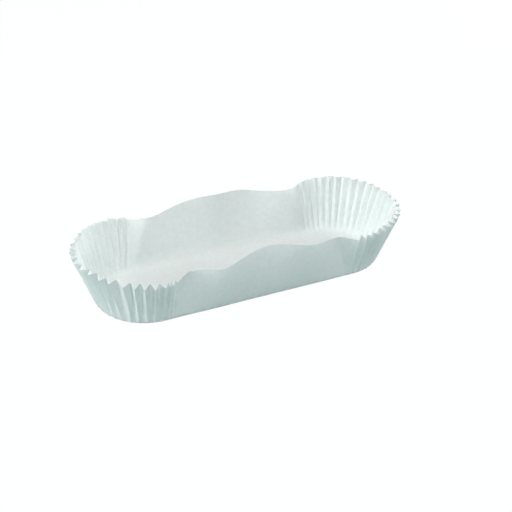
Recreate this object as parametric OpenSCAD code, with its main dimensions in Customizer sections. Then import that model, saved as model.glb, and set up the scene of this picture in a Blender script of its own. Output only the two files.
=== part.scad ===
// Oval paper baking case, pressed from one flat sheet.
// Both round ends are pleated, and the two long sides are plain panels that bow outward.
// The floor lies on Z = 0 with its centre at the origin, and the case is longest along X.

/* [Base] */
// Length of the base over its two round ends
base_l = 110; // [90:1:140]
// Width of the base
base_w = 36; // [28:1:46]
// Distance over which the floor bends up into the wall
fold_r = 0.8; // [0.5:0.1:2]

/* [Pleated ends] */
// Number of pleats round each end
end_pleats = 25; // [15:1:28]
// Height of the rim's ridges at the tip of each end
end_h = 19.5; // [15:0.1:26]
// Outward lean of the tip of each end, at the rim
end_flare = 8.2; // [6:0.1:10]
// Height of the rim at the shoulders, where the pleats stop
shoulder_h = 17.9; // [14:0.1:24]
// Outward lean of the shoulders, at the rim
shoulder_flare = 7.8; // [4:0.1:9]
// How far the pleats run on past each round end, along the rim
pleat_run = 1.2; // [0.6:0.1:4]
// Depth of a pleat at the rim, from ridge to valley
pleat_depth = 2.5; // [1:0.1:3]
// How much higher the rim stands along a valley than along a ridge
tooth_h = 0.6; // [0:0.1:1]
// Width of the flat along each ridge and valley, at the rim
crease_w = 0.4; // [0.2:0.05:0.7]

/* [Plain sides] */
// Where the waist lies along the rim, from the round end
waist_in = 8.4; // [6:0.2:12]
// Where the crease to the waist starts along the base, from the round end
crease_in = 1.6; // [1:0.1:3]
// Height of the rim at the waist
waist_h = 18.9; // [13:0.1:24]
// Outward lean of the waist, at the rim
waist_flare = 2; // [0.6:0.1:4]
// Height of the rim at the middle of a side
side_h = 23.2; // [15:0.1:28]
// Outward lean of the middle of a side, at the rim
side_flare = 4.6; // [1:0.1:6]
// Extra bow of the rim between the waist and the middle
side_bow = 2.4; // [0:0.1:5]
// Belly of the side panel halfway up
side_belly = 2; // [0:0.1:3]

/* [Paper] */
// Thickness of the paper
paper_t = 0.1; // [0.08:0.01:0.2]

/* [Hidden] */

// Mesh steps: one plain facet, half a side panel, the fold and the wall above it
facet_steps = 3;
side_steps = 9;
fold_steps = 3;
wall_steps = 7;

// How late the ends sink and draw in towards the shoulders, and how fast the pleats deepen
sink_power = 4;
draw_in_power = 8;
growth_power = 0.7;
// How narrow the bow between the waist and the middle is
bow_power = 1.7;

// Outlines of the base and of the rim's ridges
base_r = base_w / 2;
straight = base_l / 2 - base_r;
rim_r = base_r + end_flare;
rim_arc = rim_r * PI / 2;
rim_run = rim_arc + pleat_run;
crease_share = crease_w * end_pleats / rim_run / 4;

function mix(a, b, t) = a + (b - a) * t;
function ease(t) = (1 - cos(180 * t)) / 2;
function unit(v) = v / norm(v);

// A column is one line up the wall:
// [point on the base edge, its outward direction, point on the rim, its outward direction,
//  rim height, share of the pleat depth, share of the belly]

// Column of a pleated end, at one share of the way from its tip to its shoulder.
// depth is 0 along a ridge and 1 along a valley.
function pleat_column(share, depth) =
    let (
        along = share * rim_run,
        base_dir = [cos(90 * share), sin(90 * share)],
        angle = min(along / rim_arc, 1) * 90,
        rim_dir = [cos(angle), sin(angle)],
        reach = base_r + mix(end_flare, shoulder_flare, pow(share, draw_in_power))
    )
    [[straight, 0] + base_r * base_dir, base_dir,
     [straight - max(along - rim_arc, 0), 0] + reach * rim_dir, rim_dir,
     mix(end_h, shoulder_h, pow(share, sink_power)) + tooth_h * depth, depth, 0];

// Column of the plain facet that runs from the shoulder, t = 0, in to the waist, t = 1
function facet_column(t) =
    let (turn_in = sin(90 * t))
    [[straight - crease_in * t, base_r], [0, 1],
     [straight - mix(pleat_run, waist_in, t), base_r + mix(shoulder_flare, waist_flare, turn_in)], [0, 1],
     mix(shoulder_h, waist_h, turn_in), 0, 0];

// Column of a side panel, from the waist, t = 0, to the middle of the side, t = 1
function side_column(t) =
    let (lean = mix(waist_flare, side_flare, ease(t)) + side_bow * pow(sin(180 * t), bow_power))
    [[mix(straight - crease_in, 0, t), base_r], [0, 1],
     [mix(straight - waist_in, 0, t), base_r + lean], [0, 1],
     mix(waist_h, side_h, ease(t)), 0, sin(90 * t)];

// Both edges of the flat along each fold, counted in folds from the tip of an end.
// The last fold is a ridge, and ridges and valleys take turns back to the tip.
function fold_edges(fold) = [
    max(fold - 2 * crease_share, 0) / end_pleats,
    min(fold + 2 * crease_share, end_pleats) / end_pleats
];

// A quarter of the wall, from the tip of an end to the middle of a side
quarter = [
    for (fold = [0 : end_pleats], share = fold_edges(fold)) pleat_column(share, (end_pleats - fold) % 2),
    for (n = [1 : facet_steps]) facet_column(n / facet_steps),
    for (n = [1 : side_steps]) side_column(n / side_steps)
];
quarter_steps = len(quarter) - 1;
columns = 4 * quarter_steps;
rows = fold_steps + wall_steps;

// Point at share v of the way up a column
function wall_point(column, v) =
    let (
        belly = side_belly * column[6] * 4 * v * (1 - v),
        pleat = pleat_depth * column[5] * pow(v, growth_power),
        plan = mix(column[0], column[2], v) + (belly - pleat) * column[3]
    )
    [plan.x, plan.y, column[4] * v];

// Point of a column at one row: the fold is a curve from the floor, past the base edge, to the wall
function row_point(column, row) =
    let (
        edge = [column[0].x, column[0].y, 0],
        on_floor = edge - fold_r * [column[1].x, column[1].y, 0],
        v_fold = fold_r / column[4],
        t = row / fold_steps
    )
    row <= fold_steps
        ? mix(mix(on_floor, edge, t), mix(edge, wall_point(column, v_fold), t), t)
        : wall_point(column, mix(v_fold, 1, (row - fold_steps) / wall_steps));

// The four quarters mirrored into one loop, anticlockwise from the tip at +X
function loop_point(index, row) =
    let (
        turn = floor(index / quarter_steps),
        step = index % quarter_steps,
        point = row_point(quarter[turn % 2 == 0 ? step : quarter_steps - step], row)
    )
    [turn == 0 || turn == 3 ? point.x : -point.x, turn < 2 ? point.y : -point.y, point.z];

outer_skin = [for (row = [0 : rows]) [for (i = [0 : columns - 1]) loop_point(i, row)]];

// Outward direction of the paper at one point of the outer skin above the floor
function outward(row, i) =
    let (
        along = outer_skin[row][(i + 1) % columns] - outer_skin[row][(i + columns - 1) % columns],
        up = outer_skin[min(row + 1, rows)][i] - outer_skin[row - 1][i]
    )
    unit(cross(along, up));

inner_skin = [
    for (row = [0 : rows])
        [for (i = [0 : columns - 1]) outer_skin[row][i] - paper_t * (row == 0 ? [0, 0, -1] : outward(row, i))]
];

// Indices of the points of each skin in the list of both
function outer_at(row, i) = row * columns + i % columns;
function inner_at(row, i) = (rows + 1) * columns + outer_at(row, i);

// Two triangles over four corners
function quad(a, b, c, d) = [[a, b, c], [a, c, d]];

// The floor runs in strips from each column to its mirror image across the length
function mirrored(i) = (columns - i) % columns;
function floor_strip(i) =
    i == 0 ? [[0, 1, mirrored(1)]]
    : i == columns / 2 - 1 ? [[i, i + 1, mirrored(i)]]
    : quad(i, i + 1, mirrored(i + 1), mirrored(i));

// The whole sheet: outer and inner skins, the cut edge along the rim, and both faces of the floor
module liner() {
    points = [for (row = outer_skin) each row, for (row = inner_skin) each row];
    wall_faces = [
        for (row = [0 : rows - 1], i = [0 : columns - 1]) each concat(
            quad(outer_at(row, i), outer_at(row + 1, i), outer_at(row + 1, i + 1), outer_at(row, i + 1)),
            quad(inner_at(row, i), inner_at(row, i + 1), inner_at(row + 1, i + 1), inner_at(row + 1, i)))
    ];
    rim_faces = [
        for (i = [0 : columns - 1])
            each quad(outer_at(rows, i), inner_at(rows, i), inner_at(rows, i + 1), outer_at(rows, i + 1))
    ];
    floor_faces = [
        for (i = [0 : columns / 2 - 1], face = floor_strip(i))
            each [[for (n = face) outer_at(0, n)], [for (n = [2 : -1 : 0]) inner_at(0, face[n])]]
    ];
    color([0.93, 0.95, 0.94])
        polyhedron(points, concat(wall_faces, rim_faces, floor_faces), convexity = 6);
}

liner();
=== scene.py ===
"""The looks of an oval paper baking case: the pleated sheet, its paper and the studio round it."""

import math

import bpy
import numpy as np
from mathutils import Matrix, Vector, noise


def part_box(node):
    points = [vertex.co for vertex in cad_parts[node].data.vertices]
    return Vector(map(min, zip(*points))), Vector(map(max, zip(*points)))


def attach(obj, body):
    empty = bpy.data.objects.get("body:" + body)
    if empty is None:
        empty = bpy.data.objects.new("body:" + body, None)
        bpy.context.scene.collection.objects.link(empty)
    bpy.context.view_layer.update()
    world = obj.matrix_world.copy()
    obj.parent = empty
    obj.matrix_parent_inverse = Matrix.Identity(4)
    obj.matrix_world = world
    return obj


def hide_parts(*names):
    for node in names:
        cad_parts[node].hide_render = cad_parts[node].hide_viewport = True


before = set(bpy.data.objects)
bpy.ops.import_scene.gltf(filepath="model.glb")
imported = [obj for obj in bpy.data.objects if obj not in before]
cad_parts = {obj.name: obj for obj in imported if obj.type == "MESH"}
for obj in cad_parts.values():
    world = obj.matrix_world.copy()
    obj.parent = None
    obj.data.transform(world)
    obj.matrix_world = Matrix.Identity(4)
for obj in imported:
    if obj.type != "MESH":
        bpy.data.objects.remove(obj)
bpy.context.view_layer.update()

# Lengths are in millimetres, and become metres where a mesh, a lamp or the camera is made
MM = 0.001
# The highest X, Y and Z of the case in the solids
case_high = np.array(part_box("liner")[1]) / MM

# The signs of X and Y in the quarters of the case, seen from the front
RIGHT, LEFT = 1, -1
FAR, NEAR = 1, -1


def by_quarter(right_far, left_far, left_near, right_near):
    """One value for each quarter of the case."""
    return {
        (RIGHT, FAR): right_far,
        (LEFT, FAR): left_far,
        (LEFT, NEAR): left_near,
        (RIGHT, NEAR): right_near,
    }


def by_side(far, near):
    """One value for each long side of the case."""
    return {FAR: far, NEAR: near}


# Base
BASE_L = 110
BASE_W = 36
BASE_R = BASE_W / 2
STRAIGHT = BASE_L / 2 - BASE_R
# The bend from the floor up into the wall: how far in and how far up it reaches
BEND_IN = by_side(far=4.5, near=1.8)
BEND_UP = by_side(far=4, near=2)
# How much further out the line of the wall meets the floor, inside the bend
BEND_OUT = 0.35

# Pleated ends. A fold is a ridge or a valley, counted from the tip of an end.
FOLDS = 25
PLEAT_DEPTH = 2.4
# Share of the pleats' depth that is left at a shoulder
SHOULDER_DEPTH = 0.7
# How fast the pleats deepen up the wall: 1 is evenly, and less is faster near the base
GROWTH_POWER = 0.65
# Outward lean of the rim. The tips stay a little inside the solids.
TIP_MARGIN = 0.2
TIP_FLARE = case_high[0] - BASE_L / 2 - TIP_MARGIN
SHOULDER_FLARE = 7.8
# How late the ends draw in from a tip to a shoulder: 1 is evenly
DRAW_IN_POWER = 6
# Height of the rim's ridges
TIP_RIDGE_H = 20.6
SHOULDER_H = 17.9
# How much higher the rim stands along a valley than along a ridge, at a tip and at a shoulder
VALLEY_RISE = 0.2, 1.3
# How sharp the folds are, from 0 for round to 1 for creased
FOLD_SHARPNESS = 0.8
# Below 1 the ridges are narrower than the valleys
RIDGE_NARROWNESS = 0.85

# How the pleats differ from quarter to quarter
# How far they run on past the round end, along the rim and along the base. Below 0 they stop short.
PLEAT_RUN = by_quarter(right_far=1.2, left_far=2.1, left_near=4.0, right_near=2.0)
BASE_RUN = by_quarter(right_far=0, left_far=-1.4, left_near=3.8, right_near=1.2)
# How many folds they lie nearer the shoulder, and the share of it that is left at the base.
# They are wider up to one share of the quarter, and narrow and shallow from the other one on.
GATHERED = by_quarter(right_far=1, left_far=0.2, left_near=2.7, right_near=1.6)
GATHERED_AT_BASE = 0.8
WIDE_TO = 0.48
NARROW_FROM = 0.76
# How much shallower the narrow ones are: 0 is not at all, and 1 is in step with their width
NARROWER_SHALLOWER = 0.5
# How much higher the shoulder stands, and how much more upright
SHOULDER_LIFT = by_quarter(right_far=0.3, left_far=0.0, left_near=-1.8, right_near=-0.3)
SHOULDER_IN = by_quarter(right_far=0.4, left_far=0.3, left_near=5.1, right_near=2)
# How late the rim sinks from the tip to the shoulder: 1 is evenly
SINK_POWER = by_quarter(right_far=4, left_far=4, left_near=1.8, right_near=3)

# Plain sides
# Where the waist lies along the rim, and the crease to it along the base, from the round end
WAIST_IN = 8.4
CREASE_IN = by_quarter(right_far=1.6, left_far=1.6, left_near=5.6, right_near=3)
WAIST_H = 19
WAIST_FLARE = by_side(far=3.2, near=2)
# How the plain facet turns in to the waist: 1 is straight, and 2 an even curve
TURN_POWER = by_side(far=1.9, near=1.3)
# Height and outward lean of the rim at the middle of a side, which stays a little below the solids
SIDE_MARGIN = 0.1
SIDE_H = case_high[2] - SIDE_MARGIN
SIDE_FLARE = 4.6
# How much lower each side stands at its middle, and how much more upright
SIDE_DROP = by_side(far=0.8, near=0)
SIDE_IN = by_side(far=0, near=0.8)
# Extra bow of the rim between the waist and the middle, and how narrow it is
SIDE_BOW = 2.4
BOW_POWER = 1.7
# Belly of the side panel halfway up
SIDE_BELLY = 2
# How far the rim sags just past the waist of each quarter, and where, in shares of half a panel
WAIST_SAG = by_quarter(right_far=0.4, left_far=0.0, left_near=1.6, right_near=0.5)
SAG_PLACE = 0.4
SAG_WIDTH = 0.16

# Ripples in which the pleats run out, past the shoulders
RIPPLES = 2
RIPPLE_RUN = 3
RIPPLE_DEPTH = 0.35

# How far the folds stray: along the rim in folds, sideways halfway up, outward at the rim, in share
# of their depth, and in height
SEED = 7
STRAY = {"along": 0.16, "bow": 0.12, "out": 0.1, "depth": 0.1, "height": 0.12}
# No stray is more than this many times those sizes
STRAY_LIMIT = 2

# Soft waves that a pressed sheet springs into: the height of a wave, its length, how much of its height
# the wall lies further in, the height over the floor from which it is whole, and its place in the noise
COCKLE = 0.3
COCKLE_LENGTH = 16
COCKLE_INWARD = 0.5
COCKLE_WHOLE_FROM = 6
COCKLE_OFFSET = 3.7
# The same for the floor, but it lies higher by that share, and its waves are whole that far inside a tip
FLOOR_COCKLE = 0.3
FLOOR_COCKLE_LENGTH = 26
FLOOR_COCKLE_UPWARD = 0.5
FLOOR_COCKLE_WHOLE_FROM = 12
FLOOR_COCKLE_OFFSET = 8.1

# Sheet
PAPER_T = 0.1
# Mesh steps: one fold, one plain facet, half a side panel, the bend at the base, the wall, the floor
FOLD_STEPS = 8
FACET_STEPS = 24
SIDE_STEPS = 30
BEND_STEPS = 4
WALL_STEPS = 36
FLOOR_STEPS = 8
# Edges that turn by more degrees than this are drawn sharp
SHARP_ANGLE = 50

# Paper. A pattern is its cells per metre, its levels of detail and how strong the finer ones are.
PATCHES = 700, 5, 0.75
FIBRES = 2600, 3, 0.6
GRAIN = 420, 3, 0.5
# Where in the pattern of patches each tint is reached, and the tint
THIN_PAPER = 0.3, (0.80, 0.865, 0.85, 1)
THICK_PAPER = 0.7, (0.89, 0.935, 0.92, 1)
# Strength and height of a bump
FIBRE_BUMP = 0.6, 0.08
GRAIN_BUMP = 0.5, 0.25
PAPER_ROUGHNESS = 0.55
PAPER_SHINE = 0.35
# How far light spreads inside the sheet
GLOW_DISTANCE = 0.15

# Studio
FLOOR_SIZE = 4000
# How far the floor lies below the case, clear of its underside
FLOOR_DROP = 0.05
FLOOR_COLOUR = (0.26, 0.40, 0.40, 1)
FLOOR_ROUGHNESS = 0.9
FLOOR_SHINE = 0.1
# Share of the floor that gives way to plain white where it is seen
FLOOR_WHITE_SHARE = 0.92
# How bright the white of the floor and of the sky is
WHITE_STRENGTH = 1.06

# Lamps: azimuth, elevation, and what each adds to the brightness of a white surface that faces it
LAMP_DISTANCE = 800
LAMP_SIZE = 350
LAMPS = {
    "left_front_high": (-45, 65, 0.33),
    "left_low": (-90, 15, 0.48),
    "front_low": (0, 15, 0.24),
    "top": (0, 89, 0.26),
    "right_front_low": (60, 18, 0.12),
    "right_low": (90, 15, 0.27),
    "right_back_low": (115, 18, 0.4),
}

# Camera
CAMERA_AZIMUTH = -26.49
CAMERA_ELEVATION = 30.6
CAMERA_ROLL = 1.23
CAMERA_AIM = (10.18, 8.9, 0)
CAMERA_DISTANCE = 344.9
LENS = 63.28
SENSOR = 36
# The nearest and the farthest that it sees
CLIP_START = 10
CLIP_END = 20000


def mix(a, b, t):
    """The value at share t of the way from a to b."""
    return a + (b - a) * t


def ease(t):
    """A share that starts and ends gently."""
    return (1 - np.cos(np.pi * t)) / 2


def directions(angle):
    """Unit vectors in plan at each angle, in degrees from +X."""
    turn = np.radians(angle)
    return np.stack([np.cos(turn), np.sin(turn)], axis=-1)


class Columns:
    """Lines up the wall, each from a point on the base edge to a point on the rim, in plan.

    base_dir and rim_dir point outward at those points. height is the rim's, and depth is how far
    the wall lies inward of the rim's ridges there. belly is a share of the side panel's belly, and
    bow is how far the line bends sideways.
    """

    def __init__(self, base, base_dir, rim, rim_dir, height, depth, belly, bow):
        self.parts = [base, base_dir, rim, rim_dir, height, depth, belly, bow]
        self.base, self.base_dir, self.rim, self.rim_dir = base, base_dir, rim, rim_dir
        self.height, self.depth, self.belly, self.bow = height, depth, belly, bow

    def then(self, *others):
        """These lines, and the others after them."""
        pieces = [self.parts, *(other.parts for other in others)]
        return Columns(*(np.concatenate(part) for part in zip(*pieces)))

    def backwards(self):
        return Columns(*(part[::-1] for part in self.parts))

    def without_last(self):
        return Columns(*(part[:-1] for part in self.parts))

    def mirrored(self, place):
        """The same lines, taken from the right far quarter to the one at that place."""
        sign_x, sign_y = place
        plan = [part * np.array(place) for part in self.parts[:4]]
        return Columns(*plan, *self.parts[4:7], self.bow * sign_x * sign_y)


def stray_folds(rng):
    """How far each fold of one end strays from its even place, from one shoulder to the other."""
    count = 2 * FOLDS + 1
    stray = {}
    for name, size in STRAY.items():
        limit = STRAY_LIMIT * size
        stray[name] = np.clip(rng.normal(0, size, count), -limit, limit)
    # The tip and both shoulders keep to their places
    for name in ("along", "bow"):
        stray[name][[0, FOLDS, -1]] = 0
    return stray


def round_the_end(share, radius, run):
    """Centres and outward directions along a line that goes round an end and then runs on straight."""
    arc = radius * np.pi / 2
    along = share * (arc + run)
    centre = np.stack([STRAIGHT - np.maximum(along - arc, 0), 0 * share], axis=-1)
    return centre, directions(np.minimum(along / arc, 1) * 90)


def pleated_end(end_stray, place):
    """Half of a pleated end, from its tip to its shoulder."""
    # The half that runs anticlockwise from the tip is 1, and the other one is -1
    half = place[0] * place[1]
    at = np.linspace(0, FOLDS, FOLDS * FOLD_STEPS + 1)
    share = at / FOLDS
    fold = np.arange(FOLDS + 1)
    stray = {name: values[FOLDS + half * fold] for name, values in end_stray.items()}
    ridge = (FOLDS - fold) % 2 == 0
    wave = np.arcsin(FOLD_SHARPNESS * np.cos(np.pi * (FOLDS - at))) / math.asin(FOLD_SHARPNESS)
    valley_share = (0.5 - wave / 2).clip(0, 1) ** RIDGE_NARROWNESS

    # A ridge strays outward, a valley strays in depth, and between them both blend
    ridge_out = np.interp(at, fold[ridge], stray["out"][ridge])
    valley_in = np.interp(at, fold[~ridge], PLEAT_DEPTH * (1 + stray["depth"][~ridge]))

    nearer = GATHERED[place] / FOLDS * np.interp(share, [0, WIDE_TO, NARROW_FROM, 1], [0, 1, 1, 0])
    width = np.minimum(np.gradient(share + nearer) * len(share), 1)
    depth = valley_in * valley_share * width ** NARROWER_SHALLOWER * mix(1, SHOULDER_DEPTH, share ** 2)

    rim_share = share + nearer + half * np.interp(at, fold, stray["along"]) / FOLDS
    rim_centre, rim_dir = round_the_end(rim_share, BASE_R + TIP_FLARE, PLEAT_RUN[place])
    shoulder_flare = SHOULDER_FLARE - SHOULDER_IN[place]
    reach = BASE_R + mix(TIP_FLARE, shoulder_flare, share ** DRAW_IN_POWER) + ridge_out
    rim = rim_centre + reach[:, None] * rim_dir

    base_share = share + GATHERED_AT_BASE * nearer
    base_centre, base_dir = round_the_end(base_share, BASE_R, BASE_RUN[place])
    base = base_centre + (BASE_R + BEND_OUT) * base_dir

    height = mix(TIP_RIDGE_H, SHOULDER_H + SHOULDER_LIFT[place], share ** SINK_POWER[place])
    height = height + mix(*VALLEY_RISE, share) * valley_share + np.interp(at, fold, stray["height"])
    bow = half * np.interp(at, fold, stray["bow"])
    return Columns(base, base_dir, rim, rim_dir, height, depth, 0 * at, bow)


def straight_columns(base, base_dir, rim_x, lean, height, depth, belly):
    """Columns along the straight stretch of the rim, which all face +Y there."""
    outward = np.tile([0.0, 1.0], (len(rim_x), 1))
    rim = np.stack([rim_x, BASE_R + lean], axis=-1)
    return Columns(base, base_dir, rim, outward, height, depth, belly, 0 * rim_x)


def plain_facet(pleats, place):
    """The plain facet from the shoulder, which is the last column of the pleats, in to the waist."""
    t = np.arange(1, FACET_STEPS + 1) / FACET_STEPS
    turn_in = 1 - (1 - t) ** TURN_POWER[place[1]]
    shoulder_x, shoulder_y = pleats.rim[-1]
    rim_x = mix(shoulder_x, STRAIGHT - WAIST_IN, t)
    lean = mix(shoulder_y - BASE_R, WAIST_FLARE[place[1]], turn_in)
    height = mix(pleats.height[-1], WAIST_H, turn_in)

    edge_x, edge_y = pleats.base[-1]
    base_x = mix(edge_x, STRAIGHT - CREASE_IN[place], t)
    base_y = mix(edge_y, BASE_R + BEND_OUT, t)
    out_x, out_y = pleats.base_dir[-1]
    base_dir = directions(mix(math.degrees(math.atan2(out_y, out_x)), 90, t))

    ripple_left = np.clip(1 - (shoulder_x - rim_x) / RIPPLE_RUN, 0, 1)
    depth = RIPPLE_DEPTH * ripple_left * np.sin(np.pi * RIPPLES * (1 - ripple_left)) ** 2
    base = np.stack([base_x, base_y], axis=-1)
    return straight_columns(base, base_dir, rim_x, lean, height, depth, 0 * t)


def side_panel(place):
    """Half of a side panel, from the waist to the middle of the side."""
    t = np.arange(1, SIDE_STEPS + 1) / SIDE_STEPS
    side = place[1]
    sag = WAIST_SAG[place] * np.exp(-((t - SAG_PLACE) / SAG_WIDTH) ** 2)
    height = mix(WAIST_H, SIDE_H - SIDE_DROP[side], ease(t)) - sag
    bow = SIDE_BOW * np.sin(np.pi * t) ** BOW_POWER
    lean = mix(WAIST_FLARE[side], SIDE_FLARE - SIDE_IN[side], ease(t)) + bow
    base = np.stack([mix(STRAIGHT - CREASE_IN[place], 0, t), 0 * t + BASE_R + BEND_OUT], axis=-1)
    base_dir = np.tile([0.0, 1.0], (len(t), 1))
    rim_x = mix(STRAIGHT - WAIST_IN, 0, t)
    return straight_columns(base, base_dir, rim_x, lean, height, 0 * t, np.sin(np.pi / 2 * t))


def whole_loop():
    """The columns of the whole wall, anticlockwise from the tip at +X."""
    rng = np.random.default_rng(SEED)
    strays = {RIGHT: stray_folds(rng), LEFT: stray_folds(rng)}
    quarters = []
    # Each quarter is laid out right and far, from tip to middle, and then mirrored to its place
    for place in ((RIGHT, FAR), (LEFT, FAR), (LEFT, NEAR), (RIGHT, NEAR)):
        pleats = pleated_end(strays[place[0]], place)
        quarter = pleats.then(plain_facet(pleats, place), side_panel(place)).mirrored(place)
        starts_at_tip = place[0] == place[1]
        quarters.append((quarter if starts_at_tip else quarter.backwards()).without_last())
    return quarters[0].then(*quarters[1:])


def wall_points(loop, v):
    """Points at share v of the way up each column, one share for all or one for each."""
    v = v * np.ones(len(loop.height))
    arch = 4 * v * (1 - v)
    out = SIDE_BELLY * loop.belly * arch - loop.depth * v ** GROWTH_POWER
    sideways = np.stack([-loop.rim_dir[:, 1], loop.rim_dir[:, 0]], axis=-1)
    plan = mix(loop.base, loop.rim, v[:, None])
    plan = plan + out[:, None] * loop.rim_dir + (loop.bow * arch)[:, None] * sideways
    return np.column_stack([plan, loop.height * v])


def outer_skin(loop):
    """Rows of points up the outside: a bend from the floor past the base edge, then the wall."""
    far_share = loop.base_dir[:, 1].clip(0, 1) ** 2
    bend_in, bend_up = (mix(bend[NEAR], bend[FAR], far_share) for bend in (BEND_IN, BEND_UP))
    edge = np.column_stack([loop.base, 0 * loop.height])
    on_floor = edge - bend_in[:, None] * np.column_stack([loop.base_dir, 0 * loop.height])
    v_bend = bend_up / loop.height.mean()
    above = wall_points(loop, v_bend)
    rows = []
    for t in np.arange(BEND_STEPS + 1) / BEND_STEPS:
        rows.append(mix(mix(on_floor, edge, t), mix(edge, above, t), t))
    for t in np.arange(1, WALL_STEPS + 1) / WALL_STEPS:
        rows.append(wall_points(loop, mix(v_bend, 1, t)))
    return np.array(rows)


def outward_normals(skin):
    """Outward direction at each point of a skin of rows round a closed loop."""
    along = np.roll(skin, -1, axis=1) - np.roll(skin, 1, axis=1)
    up = np.gradient(skin, axis=0)
    normal = np.cross(along, up)
    return normal / np.linalg.norm(normal, axis=2, keepdims=True)


def soft_waves(points, length, offset):
    """Smooth noise between about -1 and 1 at each point, with waves of about that length."""
    flat = points.reshape(-1, 3) / length + offset
    values = [noise.noise(Vector(point)) for point in flat]
    return np.array(values).reshape(points.shape[:-1])


def cockled(skin, loop):
    """The skin with soft waves, which grow from the base edge up and move it in plan alone."""
    up_share = np.clip(skin[..., 2] / COCKLE_WHOLE_FROM, 0, 1)
    wave = (soft_waves(skin, COCKLE_LENGTH, COCKLE_OFFSET) - COCKLE_INWARD) * COCKLE * up_share
    outward = np.column_stack([loop.rim_dir, 0 * loop.height])
    return skin + wave[..., None] * outward


def floor_points(ring):
    """Points across the floor, from each point of its far edge to the one opposite on its near edge."""
    half = len(ring) // 2
    far, near = ring[1:half], ring[-1:half:-1]
    t = (np.arange(1, FLOOR_STEPS) / FLOOR_STEPS)[None, :, None]
    points = mix(far[:, None], near[:, None], t)
    wave = soft_waves(points, FLOOR_COCKLE_LENGTH, FLOOR_COCKLE_OFFSET)
    lift = FLOOR_COCKLE * (FLOOR_COCKLE_UPWARD + wave)
    across = 1 - (points[..., 1] / BASE_R) ** 2
    along = np.clip((BASE_L / 2 - np.abs(points[..., 0])) / FLOOR_COCKLE_WHOLE_FROM, 0, 1)
    points[..., 2] = np.clip(lift * across * along, 0, None)
    return points


def skin_faces(rows, columns, start, inward):
    """Quads over rows of points round a closed loop."""
    row, i = np.meshgrid(np.arange(rows - 1), np.arange(columns), indexing="ij")
    j = (i + 1) % columns
    below, above = row * columns, (row + 1) * columns
    quads = np.stack([below + i, below + j, above + j, above + i], axis=-1).reshape(-1, 4) + start
    return (quads[:, ::-1] if inward else quads).tolist()


def rim_faces(columns, outer_row, inner_row):
    """The cut edge along the rim, between the top rows of both skins."""
    faces = []
    for i in range(columns):
        j = (i + 1) % columns
        faces.append([outer_row + i, outer_row + j, inner_row + j, inner_row + i])
    return faces


def floor_faces(columns, ring_start, inner_start, upward):
    """Faces over the floor, from its edge through the points across it."""
    half = columns // 2

    def strip(i):
        inside = inner_start + (i - 1) * (FLOOR_STEPS - 1)
        return [ring_start + i, *range(inside, inside + FLOOR_STEPS - 1), ring_start + columns - i]

    faces = []
    for i in range(1, half - 1):
        here, there = strip(i), strip(i + 1)
        for n in range(FLOOR_STEPS):
            faces.append([here[n], here[n + 1], there[n + 1], there[n]])
    for tip, line, turn in ((ring_start, strip(1), 1), (ring_start + half, strip(half - 1), -1)):
        for n in range(FLOOR_STEPS):
            faces.append([tip, line[n + 1], line[n]][::turn])
    return [face[::-1] for face in faces] if upward else faces


def paper_mesh():
    """One closed sheet: outer and inner skins, the cut edge along the rim and both faces of the floor."""
    loop = whole_loop()
    outer = cockled(outer_skin(loop), loop)
    rows, columns = outer.shape[:2]
    outward = outward_normals(outer)
    outward[0] = [0, 0, -1]
    inner = outer - PAPER_T * outward
    floor_under = floor_points(outer[0])
    floor_top = floor_points(inner[0])
    floor_top[..., 2] = floor_under[..., 2] + PAPER_T

    parts = [part.reshape(-1, 3) for part in (outer, inner, floor_under, floor_top)]
    outer_start, inner_start, under_start, top_start = np.cumsum([0] + [len(part) for part in parts[:-1]])
    rim_row = (rows - 1) * columns
    faces = skin_faces(rows, columns, outer_start, False) + skin_faces(rows, columns, inner_start, True)
    faces += floor_faces(columns, outer_start, under_start, False)
    faces += floor_faces(columns, inner_start, top_start, True)
    faces += rim_faces(columns, outer_start + rim_row, inner_start + rim_row)

    mesh = bpy.data.meshes.new("paper_liner")
    mesh.from_pydata((np.concatenate(parts) * MM).tolist(), [], faces)
    mesh.validate()
    mesh.shade_smooth()
    mesh.set_sharp_from_angle(angle=math.radians(SHARP_ANGLE))
    return mesh


def paper_material():
    """White greaseproof paper: thicker and thinner patches, fibres, a soft grain and a little glow."""
    material = bpy.data.materials.new("white_greaseproof_paper")
    material.use_nodes = True
    nodes, links = material.node_tree.nodes, material.node_tree.links
    shader = nodes["Principled BSDF"]
    place = nodes.new("ShaderNodeTexCoord").outputs["Object"]

    def pattern(scale, detail, roughness):
        node = nodes.new("ShaderNodeTexNoise")
        node.inputs["Scale"].default_value = scale
        node.inputs["Detail"].default_value = detail
        node.inputs["Roughness"].default_value = roughness
        links.new(place, node.inputs["Vector"])
        return node.outputs["Fac"]

    def bump(height, strength, distance):
        node = nodes.new("ShaderNodeBump")
        node.inputs["Strength"].default_value = strength
        node.inputs["Distance"].default_value = distance * MM
        links.new(height, node.inputs["Height"])
        return node

    tint = nodes.new("ShaderNodeValToRGB")
    for stop, (reached_at, colour) in zip(tint.color_ramp.elements, (THIN_PAPER, THICK_PAPER)):
        stop.position = reached_at
        stop.color = colour
    links.new(pattern(*PATCHES), tint.inputs["Fac"])
    links.new(tint.outputs["Color"], shader.inputs["Base Color"])

    fibres = bump(pattern(*FIBRES), *FIBRE_BUMP)
    grain = bump(pattern(*GRAIN), *GRAIN_BUMP)
    links.new(fibres.outputs["Normal"], grain.inputs["Normal"])
    links.new(grain.outputs["Normal"], shader.inputs["Normal"])

    shader.inputs["Roughness"].default_value = PAPER_ROUGHNESS
    shader.inputs["Specular IOR Level"].default_value = PAPER_SHINE
    shader.inputs["Subsurface Weight"].default_value = 1
    shader.inputs["Subsurface Radius"].default_value = (1, 1, 1)
    shader.inputs["Subsurface Scale"].default_value = GLOW_DISTANCE * MM
    return material


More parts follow.
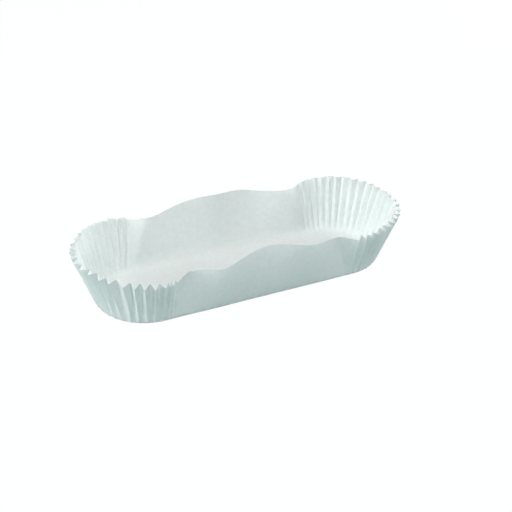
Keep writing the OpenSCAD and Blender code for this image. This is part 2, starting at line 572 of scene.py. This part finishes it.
def liner():
    """The paper case, in place of the plain one of the solids."""
    piece = bpy.data.objects.new("paper_liner", paper_mesh())
    bpy.context.scene.collection.objects.link(piece)
    piece.data.materials.append(paper_material())
    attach(piece, "root")
    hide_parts("liner")


def seen_as_white(tree, shader, share, white_type):
    """Where the camera or a mirror sees the surface, that share of the shader gives way to plain white."""
    nodes, links = tree.nodes, tree.links
    path = nodes.new("ShaderNodeLightPath")
    seen = path.outputs["Is Camera Ray"]
    for name in ("Is Glossy Ray", "Is Transmission Ray"):
        either = nodes.new("ShaderNodeMath")
        either.operation = "MAXIMUM"
        links.new(seen, either.inputs[0])
        links.new(path.outputs[name], either.inputs[1])
        seen = either.outputs[0]
    weight = nodes.new("ShaderNodeMath")
    weight.operation = "MULTIPLY"
    weight.inputs[1].default_value = share
    links.new(seen, weight.inputs[0])
    white = nodes.new(white_type)
    white.inputs["Color"].default_value = (1, 1, 1, 1)
    white.inputs["Strength"].default_value = WHITE_STRENGTH
    both = nodes.new("ShaderNodeMixShader")
    links.new(weight.outputs[0], both.inputs[0])
    links.new(shader, both.inputs[1])
    links.new(white.outputs[0], both.inputs[2])
    return both.outputs[0]


def studio_floor():
    """A pale floor that the light falls on, and that is seen nearly white."""
    mesh = bpy.data.meshes.new("studio_floor")
    far = FLOOR_SIZE / 2 * MM
    z = -FLOOR_DROP * MM
    mesh.from_pydata([(-far, -far, z), (far, -far, z), (far, far, z), (-far, far, z)], [], [(0, 1, 2, 3)])
    floor = bpy.data.objects.new("studio_floor", mesh)
    bpy.context.scene.collection.objects.link(floor)
    material = bpy.data.materials.new("pale_floor")
    material.use_nodes = True
    tree = material.node_tree
    shader = tree.nodes["Principled BSDF"]
    shader.inputs["Base Color"].default_value = FLOOR_COLOUR
    shader.inputs["Roughness"].default_value = FLOOR_ROUGHNESS
    shader.inputs["Specular IOR Level"].default_value = FLOOR_SHINE
    shown = seen_as_white(tree, shader.outputs[0], FLOOR_WHITE_SHARE, "ShaderNodeEmission")
    tree.links.new(shown, tree.nodes["Material Output"].inputs["Surface"])
    mesh.materials.append(material)


def sky():
    """A sky that is seen white and lights nothing."""
    world = bpy.data.worlds.new("pale_sky")
    bpy.context.scene.world = world
    world.use_nodes = True
    tree = world.node_tree
    light = tree.nodes["Background"]
    light.inputs["Strength"].default_value = 0
    shown = seen_as_white(tree, light.outputs[0], 1, "ShaderNodeBackground")
    tree.links.new(shown, tree.nodes["World Output"].inputs["Surface"])


def towards_viewer(azimuth, elevation):
    """Unit vector towards a viewer, from angles in degrees. Azimuth 0 is the front, and 90 the right."""
    turn, rise = math.radians(azimuth), math.radians(elevation)
    return Vector((math.sin(turn) * math.cos(rise), -math.cos(turn) * math.cos(rise), math.sin(rise)))


def lamp(name, azimuth, elevation, level):
    """A square soft lamp that faces the middle of the case."""
    light = bpy.data.lights.new(name, "AREA")
    light.size = LAMP_SIZE * MM
    light.energy = level * (math.pi * LAMP_DISTANCE * MM) ** 2
    lamp_object = bpy.data.objects.new(name, light)
    bpy.context.scene.collection.objects.link(lamp_object)
    away = towards_viewer(azimuth, elevation)
    lamp_object.location = away * LAMP_DISTANCE * MM
    lamp_object.rotation_mode = "QUATERNION"
    lamp_object.rotation_quaternion = away.to_track_quat("Z", "Y")


def camera():
    data = bpy.data.cameras.new("camera")
    data.lens = LENS
    data.sensor_width = SENSOR
    data.clip_start = CLIP_START * MM
    data.clip_end = CLIP_END * MM
    viewer = bpy.data.objects.new("camera", data)
    bpy.context.scene.collection.objects.link(viewer)
    back = towards_viewer(CAMERA_AZIMUTH, CAMERA_ELEVATION)
    viewer.location = (Vector(CAMERA_AIM) + back * CAMERA_DISTANCE) * MM
    viewer.rotation_mode = "QUATERNION"
    roll = Matrix.Rotation(math.radians(CAMERA_ROLL), 3, back).to_quaternion()
    viewer.rotation_quaternion = roll @ back.to_track_quat("Z", "Y")
    bpy.context.scene.camera = viewer


camera()
liner()
studio_floor()
sky()
for lamp_name, (lamp_azimuth, lamp_elevation, lamp_level) in LAMPS.items():
    lamp(lamp_name, lamp_azimuth, lamp_elevation, lamp_level)

bpy.context.scene.view_settings.view_transform = "Standard"
bpy.context.view_layer.update()
